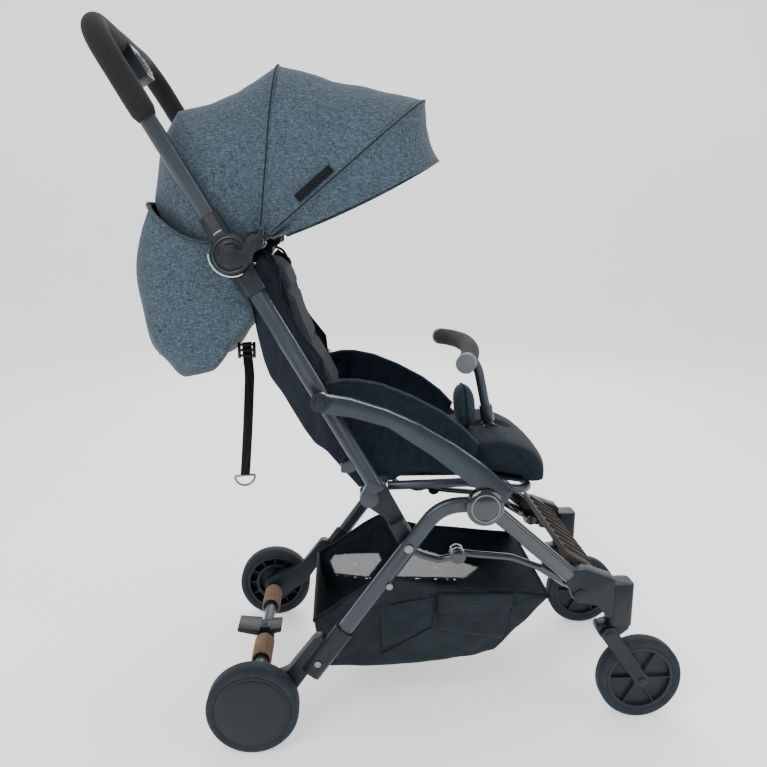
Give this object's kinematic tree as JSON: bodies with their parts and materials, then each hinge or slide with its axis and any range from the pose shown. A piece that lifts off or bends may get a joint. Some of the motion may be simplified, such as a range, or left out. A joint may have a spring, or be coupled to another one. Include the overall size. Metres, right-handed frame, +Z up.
{
  "type": "folding baby stroller",
  "caption": "Compact folding baby stroller with a high push handle, hooded canopy, T-shaped bumper bar, reclining seat, under-seat basket and swivelling front casters.",
  "frame": {"origin": "on the floor, under the middle of the overall length and width", "axes": "+X forward, the way the child faces; +Y to the left of the child; +Z up"},
  "size_m": [0.8994, 0.456, 1.0653],
  "materials": {
    "frame_paint": "satin",
    "arm_paint": "satin",
    "black_plastic": "satin",
    "gloss_black": "gloss",
    "grey_plastic": "satin",
    "steel": "satin",
    "tyre_rubber": "matte",
    "grip_foam": "matte",
    "canopy_fabric": "matte",
    "seat_fabric": "matte",
    "pad_fabric": "matte",
    "basket_fabric": "matte",
    "webbing": "matte",
    "card_sleeve": "matte",
    "board": "satin"
  },
  "bodies": {
    "rear_frame": {"rear_leg_left": "frame_paint", "rear_leg_right": "frame_paint", "rear_brackets": "black_plastic", "leg_rivets": "steel", "rear_axle_tube": "frame_paint", "axle_sleeves": "card_sleeve", "wheel_axle_pins": "steel", "fold_hub_pins": "gloss_black", "basket": "basket_fabric"},
    "brake": {"brake_pedal": "black_plastic", "brake_rod": "steel"},
    "rear_wheel_left": {"rear_tyre_left": "tyre_rubber", "rear_rim_left": "black_plastic"},
    "rear_wheel_right": {"rear_tyre_right": "tyre_rubber", "rear_rim_right": "black_plastic"},
    "lower_bracket_arms": {"lower_brackets": "black_plastic", "crank_tubes": "gloss_black"},
    "front_frame": {"front_leg_left": "gloss_black", "front_leg_right": "gloss_black", "caster_housings": "black_plastic", "footrest": "board"},
    "front_link_arms": {"front_links": "gloss_black"},
    "caster_left": {"caster_yoke_left": "black_plastic"},
    "caster_right": {"caster_yoke_right": "black_plastic"},
    "fork_left": {"front_fork_left": "black_plastic"},
    "fork_right": {"front_fork_right": "black_plastic"},
    "front_wheel_left": {"front_tyre_left": "tyre_rubber", "front_rim_left": "black_plastic"},
    "front_wheel_right": {"front_tyre_right": "tyre_rubber", "front_rim_right": "black_plastic"},
    "seat": {"arm_bar_left": "arm_paint", "arm_bar_right": "arm_paint", "seat_frame_tube": "frame_paint", "seat_base": "black_plastic", "seat_cushion": "seat_fabric", "seat_side_left": "seat_fabric", "seat_side_right": "seat_fabric", "bumper_socket": "black_plastic", "crotch_pad": "pad_fabric"},
    "bumper": {"bumper_post": "frame_paint", "bumper_grip": "grip_foam", "bumper_end_caps": "grey_plastic"},
    "upper_frame": {"main_tube_left": "frame_paint", "main_tube_right": "frame_paint", "upper_hub_bases": "black_plastic", "arm_pivot_caps": "black_plastic", "recline_rod": "frame_paint", "canopy_rear_panel": "canopy_fabric"},
    "canopy_mid": {"canopy_mid_bow": "gloss_black", "canopy_mid_panel": "canopy_fabric"},
    "canopy_front": {"canopy_front_bow": "gloss_black", "canopy_visor": "canopy_fabric"},
    "backrest": {"backrest_pad": "seat_fabric", "back_pouch": "canopy_fabric", "recline_strap": "webbing"},
    "handle": {"handle_tube": "frame_paint", "handle_grip": "grip_foam", "upper_hub_covers": "black_plastic", "release_housing": "black_plastic"},
    "release": {"release_button": "grey_plastic"}
  },
  "joints": [
    {"name": "frame_fold", "type": "hinge", "parent": "rear_frame", "child": "seat", "pos_m": [0.1083, 0, 0.382], "axis": [0, -1, 0], "range_deg": [0, 25.6], "deforming": ["basket"]},
    {"name": "lower_bracket_turn", "type": "hinge", "parent": "rear_frame", "child": "lower_bracket_arms", "pos_m": [-0.0027, 0, 0.316], "axis": [0, -1, 0], "range_deg": [0, 75.5]},
    {"name": "front_frame_turn", "type": "hinge", "parent": "rear_frame", "child": "front_frame", "pos_m": [0.1083, 0, 0.382], "axis": [0, -1, 0], "range_deg": [-79.7, 0]},
    {"name": "front_link_turn", "type": "hinge", "parent": "front_frame", "child": "front_link_arms", "pos_m": [0.2713, 0, 0.22], "axis": [0, -1, 0], "range_deg": [-11.1, 0]},
    {"name": "upper_frame_turn", "type": "hinge", "parent": "seat", "child": "upper_frame", "pos_m": [-0.1317, 0, 0.54], "axis": [0, -1, 0], "range_deg": [-19, 0]},
    {"name": "handle_fold", "type": "hinge", "parent": "upper_frame", "child": "handle", "pos_m": [-0.2517, 0, 0.745], "axis": [0, -1, 0], "range_deg": [0, 110]},
    {"name": "release_slide", "type": "slide", "parent": "handle", "child": "release", "axis": [-0.512, 0, 0.859], "range_m": [0, 0.005], "stiffness_N_per_m": 400, "springref_m": -0.004},
    {"name": "canopy_fold", "type": "hinge", "parent": "upper_frame", "child": "canopy_front", "pos_m": [-0.2157, 0, 0.76], "axis": [0, -1, 0], "range_deg": [0, 60], "deforming": ["canopy_mid_panel", "canopy_rear_panel"]},
    {"name": "canopy_mid_turn", "type": "hinge", "parent": "upper_frame", "child": "canopy_mid", "pos_m": [-0.2157, 0, 0.76], "axis": [0, -1, 0], "range_deg": [0, 26.5]},
    {"name": "backrest_recline", "type": "hinge", "parent": "upper_frame", "child": "backrest", "pos_m": [-0.0957, 0, 0.43], "axis": [0, -1, 0], "range_deg": [0, 25], "deforming": ["back_pouch"]},
    {"name": "bumper_fold", "type": "hinge", "parent": "seat", "child": "bumper", "pos_m": [0.1523, 0, 0.443], "axis": [0, 1, 0], "range_deg": [0, 55]},
    {"name": "brake_press", "type": "hinge", "parent": "rear_frame", "child": "brake", "pos_m": [-0.2367, 0, 0.07], "axis": [0, -1, 0], "range_deg": [0, 15]},
    {"name": "rear_wheel_spin_left", "type": "hinge", "parent": "rear_frame", "child": "rear_wheel_left", "pos_m": [-0.2367, 0.212, 0.07], "axis": [0, 1, 0], "continuous": true},
    {"name": "caster_swivel_left", "type": "hinge", "parent": "front_frame", "child": "caster_left", "pos_m": [0.3403, 0.153, 0.166], "axis": [0, 0, 1], "continuous": true},
    {"name": "fork_spring_left", "type": "hinge", "parent": "caster_left", "child": "fork_left", "pos_m": [0.3233, 0.153, 0.151], "axis": [0, -1, 0], "range_deg": [0, 8], "stiffness_Nm_per_rad": 20, "springref_deg": -11.46},
    {"name": "front_wheel_spin_left", "type": "hinge", "parent": "fork_left", "child": "front_wheel_left", "pos_m": [0.3813, 0.153, 0.0684], "axis": [0, 1, 0], "continuous": true},
    {"name": "rear_wheel_spin_right", "type": "hinge", "parent": "rear_frame", "child": "rear_wheel_right", "pos_m": [-0.2367, -0.212, 0.07], "axis": [0, 1, 0], "continuous": true},
    {"name": "caster_swivel_right", "type": "hinge", "parent": "front_frame", "child": "caster_right", "pos_m": [0.3403, -0.153, 0.166], "axis": [0, 0, 1], "continuous": true},
    {"name": "fork_spring_right", "type": "hinge", "parent": "caster_right", "child": "fork_right", "pos_m": [0.3233, -0.153, 0.151], "axis": [0, -1, 0], "range_deg": [0, 8], "stiffness_Nm_per_rad": 20, "springref_deg": -11.46},
    {"name": "front_wheel_spin_right", "type": "hinge", "parent": "fork_right", "child": "front_wheel_right", "pos_m": [0.3813, -0.153, 0.0684], "axis": [0, 1, 0], "continuous": true}
  ],
  "couplings": [
    {"joint": "lower_bracket_turn", "follows": "frame_fold", "ratio": 2.93},
    {"joint": "front_frame_turn", "follows": "frame_fold", "ratio": -3.0922},
    {"joint": "front_link_turn", "follows": "frame_fold", "ratio": -0.4138},
    {"joint": "upper_frame_turn", "follows": "frame_fold", "ratio": -0.7242},
    {"joint": "canopy_mid_turn", "follows": "canopy_fold", "ratio": 0.4333}
  ]
}
